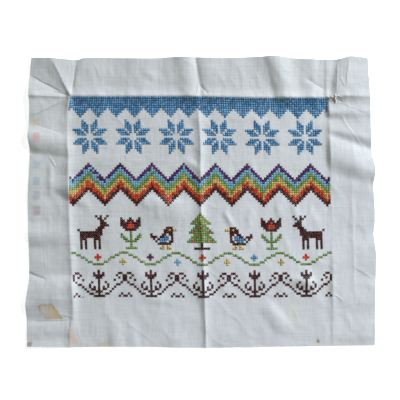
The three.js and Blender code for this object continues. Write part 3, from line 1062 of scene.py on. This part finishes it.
def grow(name, points, tree, settings):
    """The plain mesh that a tree makes on some points, as a piece of its own."""
    holder = add_object(name + "_points", points)
    modifier = holder.modifiers.new("grow", "NODES")
    modifier.node_group = tree
    for socket in tree.interface.items_tree:
        if socket.name in settings:
            modifier[socket.identifier] = settings[socket.name]
    graph = bpy.context.evaluated_depsgraph_get()
    grown = holder.evaluated_get(graph)
    mesh = bpy.data.meshes.new_from_object(grown, preserve_all_data_layers=True, depsgraph=graph)
    bpy.data.objects.remove(holder)
    mesh.name = name
    while mesh.materials[0] is None:
        mesh.materials.pop(index=0)
    mesh.polygons.foreach_set("material_index", np.zeros(len(mesh.polygons), int))
    places = np.empty(3 * len(mesh.vertices))
    mesh.vertices.foreach_get("co", places)
    places[2::3] = np.maximum(places[2::3], cad_box[0][2])
    mesh.vertices.foreach_set("co", places)
    return add_object(name, mesh)


def unit(values):
    return values / np.linalg.norm(values, axis=-1, keepdims=True)


def lie_of_cloth(column, row, reach=1.5):
    """Points on the cloth's upper face, with the directions along its weft and up from it."""
    along_weft = on_cloth(column + reach, row) - on_cloth(column - reach, row)
    along_warp = on_cloth(column, row + reach) - on_cloth(column, row - reach)
    return on_cloth(column, row), unit(along_weft), unit(np.cross(along_weft, along_warp))


# ---------------- the chart

BARE = "."
CHART = np.full((STITCH_ROWS, STITCH_COLUMNS), BARE)

# A quarter of an eight-pointed star. The four quarters lie about one blank row and column.
STAR_QUARTER = """
....B..
....BB.
....BBB
....BBB
BBBB.BB
.BBBB.B
..BBBB.
""".split()
# Half of each of these, up to its middle column.
TREE = """
.......L
......LL
.....LLG
....LLLL
...LLGLL
.....LLL
....LLLR
...LLLLL
..LLRLLL
....LLLL
...LLLGL
..LLLLLL
.LLRLLLL
.......M
.......M
....MMMM
""".split()
TULIP = """
M...M
MM.MM
MMMMR
MMMRR
.MMRR
..MMM
....L
L...L
LL..L
.LL.L
..LLL
....L
....L
..LLL
""".split()
SCROLL = """
...........M
.MM......M.M
M..M.....MMM
M.M.......MM
M...M......M
.M......M..M
..MM...M...M
....M..M.M.M
.....M..MM.M
......M...MM
.M.....MM..M
M.M......MMM
""".split()
# These face right, and are flipped to face left.
BIRD = """
.......MMM..
......MMGMGG
......MMMM..
M....MM.MM..
MMM.MMBB.M..
.M.MBBBB.M..
..M.BBB.MM..
...MMMMMM...
.....G.G....
....GG.GG...
""".split()
DEER = """
........M.M..M
.........MM.M.
..........MM..
..........MMM.
..........MMMM
.........MMM..
M.......MMM...
.MMMMMMMMMM...
.MMMMMMMMMM...
.MMMMMMMMM....
.MMM...MMM....
.M.M...M.M....
.M.M...M.M....
.M.M...M.M....
.M.M...M.M....
""".split()


def mirrored(half):
    return [row + row[-2::-1] for row in half]


def flipped(motif):
    return [row[::-1] for row in motif]


def chart_motif(motif, left, top):
    for down, row in enumerate(motif):
        for across, letter in enumerate(row):
            if letter != BARE:
                CHART[top + down, left + across] = letter


def chart_pair(motif, left, top):
    """A motif on the left, and its reflection as far in from the right."""
    chart_motif(motif, left, top)
    chart_motif(flipped(motif), STITCH_COLUMNS - left - len(motif[0]), top)


def chart_star_band(top, repeat=19):
    """Blue eight-pointed stars in a row."""
    half = [row + BARE + row[::-1] for row in STAR_QUARTER]
    star = half + [BARE * len(half[0])] + half[::-1]
    for left in range(2, STITCH_COLUMNS - repeat + 3, repeat):
        chart_motif(star, left, top)


def chart_ground(rows, dags=8, shift=3):
    """A solid ground with a toothed lower edge."""
    CHART[:rows] = "S"
    for column in range(STITCH_COLUMNS):
        tooth = abs((column + shift) % dags - dags // 2)
        CHART[rows : rows + tooth, column] = "S"


def chart_flame_band(top, stripes="PPAALLGGRRMM", period=14, shift=6, straying=0.1, seed=12):
    """Zigzag stripes of every colour, worked freely, so that each runs a little into the next."""
    draw = np.random.default_rng(seed)
    for column in range(STITCH_COLUMNS):
        lower = period // 2 - abs((column + shift) % period - period // 2)
        for down in range(len(stripes)):
            astray = draw.choice([-1, 0, 1], p=[straying, 1 - 2 * straying, straying])
            CHART[top + lower + down, column] = stripes[min(max(down + astray, 0), len(stripes) - 1)]


def chart_vine(top, period=23, swing=2.4):
    """A green stem in long waves, with a berry of each colour in turn under and over it."""
    berries = "RGPARGBG"
    for column in range(STITCH_COLUMNS):
        wave = math.cos(2 * math.pi * (column + 0.5) / period)
        CHART[top + round(2.5 - swing * wave), column] = "L"
    for count in range(2 * STITCH_COLUMNS // period):
        middle = round((count + 1) * period / 2 - 0.5)
        if middle + 1 < STITCH_COLUMNS:
            berry = berries[count % len(berries)]
            side = BARE + berry + BARE
            down = 1 if count % 2 == 0 else 3
            chart_motif([side, berry * 3, side], middle - 1, top + down)


chart_ground(5)
chart_star_band(10)
chart_flame_band(29)
chart_motif(mirrored(TREE), 50, 51)
chart_pair(BIRD, 35, 57)
chart_pair(mirrored(TULIP), 22, 53)
chart_pair(DEER, 3, 52)
chart_vine(68)
scroll = mirrored(SCROLL)
for scroll_left in range(0, STITCH_COLUMNS, len(scroll[0])):
    chart_motif(scroll, scroll_left, 76)

# Each piece of stitching: its letter on the chart and its floss.
STITCHING = {
    "star_ground": ("S", "blue"),
    "blue_crosses": ("B", "blue"),
    "aqua_crosses": ("A", "aqua"),
    "maroon_crosses": ("M", "maroon"),
    "red_crosses": ("R", "red"),
    "gold_crosses": ("G", "gold"),
    "green_crosses": ("L", "green"),
    "purple_crosses": ("P", "purple"),
}


def stitched(letter):
    """The columns and rows of the cloth where one letter's crosses lie."""
    down, across = np.nonzero(CHART == letter)
    return FIELD_LEFT + (across + 0.5) * STITCH_ACROSS, FIELD_TOP - (down + 0.5) * STITCH_DOWN


# ---------------- the cut edges' loose fibres

FIBRE_SPACING = 0.75
FIBRE_SHARE = 0.7        # how many of those places have one
FIBRE_THICKNESS = 0.16
# As shares of a fibre's length: how far back it starts, and how far it bends and arches.
FIBRE_ROOT, FIBRE_BEND, FIBRE_ARCH = 0.15, 0.35, 0.12
# For each edge, where it runs and how far its fibres have worked loose.
CUT_EDGES = [
    # fixed column or row, that value, loosest fibre
    ("row", ROW_LINES[0], 2.2),
    ("row", ROW_LINES[-1], 0.9),
    ("column", COLUMN_LINES[0], 1.2),
    ("column", COLUMN_LINES[-1], 1.3),
]


def frayed_edge_tree():
    """A short bent fibre on most of the points, as long as the point's own `out` is."""
    tree, given = new_tree("frayed edge", Thickness="Float", Share="Float", Seed="Int", Fibre="Material")
    line, share = even_line(tree, (-FIBRE_ROOT, 0, 0), (1, 0, 0))
    bend = vector(0, share**2 * FIBRE_BEND, (share * math.pi).sine() * FIBRE_ARCH)
    inputs = {"Resolution": 4, "Radius": given["Thickness"] * 0.5}
    section = node(tree, "GeometryNodeCurvePrimitiveCircle", inputs)

    seed, out = given["Seed"], direction(tree, "out")
    wild = at_random(seed, (-1.4, -0.3, -1), (1.4, 0.05, 1))
    facing = faced(out, "X", direction(tree, "up"), "Z", wild)
    length = out.length() * at_random(seed + 1, 0.25, 1)
    inputs = {"Probability": given["Share"], "Seed": seed + 2}
    kept = node(tree, "FunctionNodeRandomValue", inputs, 3, data_type="BOOLEAN")
    fibre = solid(moved(line, bend), section)
    put_out(tree, given, fibre, "Fibre", Selection=kept, Rotation=facing, Scale=length)
    return tree


def cut_edge_points():
    """Points along the four cut edges, half way through the cloth, and the way out from each."""
    points, out, up = [], [], []
    for kind, value, loosest in CUT_EDGES:
        ends = COLUMN_LINES if kind == "row" else ROW_LINES
        places = np.arange(ends[0] + 1, ends[-1] - 1, FIBRE_SPACING)
        fixed = np.full_like(places, value)
        column, row = (places, fixed) if kind == "row" else (fixed, places)
        there, _, upwards = lie_of_cloth(column, row)
        inner = on_cloth(column * 0.99, row * 0.99)
        points.append(there - [0, 0, CLOTH_THICKNESS / 2])
        out.append(unit(there - inner) * loosest * MM)
        up.append(upwards)
    return points_mesh("cut_edges", np.concatenate(points), out=np.concatenate(out), up=np.concatenate(up))


def fibre(tree):
    place = object_place(tree)
    colour = mix(noise(place, 12), shade(206, 206, 202), shade(232, 233, 231))
    return colour, bump(noise(place, 0.1), 0.03)


# ---------------- a loose end of thread

# Where it lies on the cloth, by the top right corner of the worked field.
THREAD_END = [(183.2, 144.2), (183.9, 141.5), (182.6, 138.6), (183.7, 135.6), (182.9, 133.4)]
THREAD_PLY = 0.42        # the radius of each of its two plies
THREAD_LIFT = 1.8        # how high its middle lies, in plies
THREAD_TURNS = 3.5
THREAD_STEPS, THREAD_SIDES = 44, 7


def thread_end_mesh():
    """Two plies twisted round each other, each a closed tube."""
    share = np.linspace(0, 1, THREAD_STEPS)
    stops = np.linspace(0, 1, len(THREAD_END))
    column, row = (np.interp(share, stops, places) for places in zip(*THREAD_END))
    there, _, up = lie_of_cloth(column, row)
    middle = there + THREAD_LIFT * THREAD_PLY * up
    ahead = unit(np.gradient(middle, axis=0))
    side = unit(np.cross(up, ahead))
    up = np.cross(ahead, side)

    points, faces = [], []
    turn = 2 * math.pi * np.arange(THREAD_SIDES) / THREAD_SIDES
    for start in (0, math.pi):
        twist = (start + 2 * math.pi * THREAD_TURNS * share)[:, None]
        ply = middle + THREAD_PLY * (np.cos(twist) * side + np.sin(twist) * up)
        rings = [ply + THREAD_PLY * (math.cos(a) * side + math.sin(a) * up) for a in turn]
        at = np.arange(THREAD_STEPS * THREAD_SIDES).reshape(THREAD_STEPS, THREAD_SIDES)
        at += len(points) * at.size
        points.append(np.stack(rings, axis=1).reshape(-1, 3))
        beside = np.roll(at, -1, axis=1)
        faces += np.stack([at[:-1], beside[:-1], beside[1:], at[1:]], axis=-1).reshape(-1, 4).tolist()
        faces += [at[0, ::-1].tolist(), at[-1].tolist()]
    mesh = bpy.data.meshes.new("thread_end")
    mesh.from_pydata((np.concatenate(points) * MM).tolist(), [], faces)
    mesh.polygons.foreach_set("use_smooth", np.ones(len(mesh.polygons), bool))
    return mesh


def thread(tree):
    hairs = noise(object_place(tree), 0.2, 3)
    return mix(hairs, shade(222, 212, 188), shade(246, 241, 228)), bump(hairs, 0.06)


# ---------------- the table

TABLE_HALF = 6.0         # metres
TABLE_SHADE = (0.95, 0.95, 0.95, 1)


def table_top():
    """A plain pale surface just under the cloth."""
    mesh = bpy.data.meshes.new("table_top")
    corners = [(-1, -1), (1, -1), (1, 1), (-1, 1)]
    corners = [(x * TABLE_HALF, y * TABLE_HALF, cad_box[0][2]) for x, y in corners]
    mesh.from_pydata(corners, [], [(0, 1, 2, 3)])
    values = {
        "Base Color": TABLE_SHADE,
        "Roughness": 0.9,
        "Specular IOR Level": 0.25,
        "Emission Color": (1, 1, 1, 1),
        "Emission Strength": TABLE_GLOW,
    }
    pale, _ = new_material("pale table", values)
    mesh.materials.append(pale)
    return add_object("table_top", mesh)


# ---------------- putting it together

cloth = add_object("cotton_cloth", cloth_mesh())
cloth.data.materials.append(finish("cotton", cotton, roughness=0.88, sheen=0.08))

stitch_tree = cross_stitch_tree()
floss_finishes = {name: floss_finish(name, *shades) for name, shades in FLOSS.items()}
for seed, (name, (letter, floss)) in enumerate(STITCHING.items()):
    there, weftwards, upwards = lie_of_cloth(*stitched(letter))
    piece = grow(
        name,
        points_mesh(f"{name}_points", there, along=weftwards, up=upwards),
        stitch_tree,
        {
            "Across": STITCH_ACROSS * MM,
            "Down": STITCH_DOWN * MM,
            "Width": FLOSS_WIDTH * MM,
            "Thickness": FLOSS_THICKNESS * MM,
            "Strands": FLOSS_STRANDS,
            "Sink": FLOSS_SINK * MM,
            "Seed": 10 * seed,
            "Floss": floss_finishes[floss],
        },
    )
    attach(piece, BODY)

fray = grow(
    "frayed_edge",
    cut_edge_points(),
    frayed_edge_tree(),
    {
        "Thickness": FIBRE_THICKNESS,
        "Share": FIBRE_SHARE,
        "Seed": 4,
        "Fibre": finish("loose fibre", fibre, roughness=0.9, sheen=0.1),
    },
)
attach(fray, BODY)

thread_end = add_object("thread_end", thread_end_mesh())
thread_end.data.materials.append(finish("undyed thread", thread, roughness=0.8, sheen=0.05))
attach(thread_end, BODY)

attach(cloth, BODY)
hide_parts("sampler_cloth")
table_top()
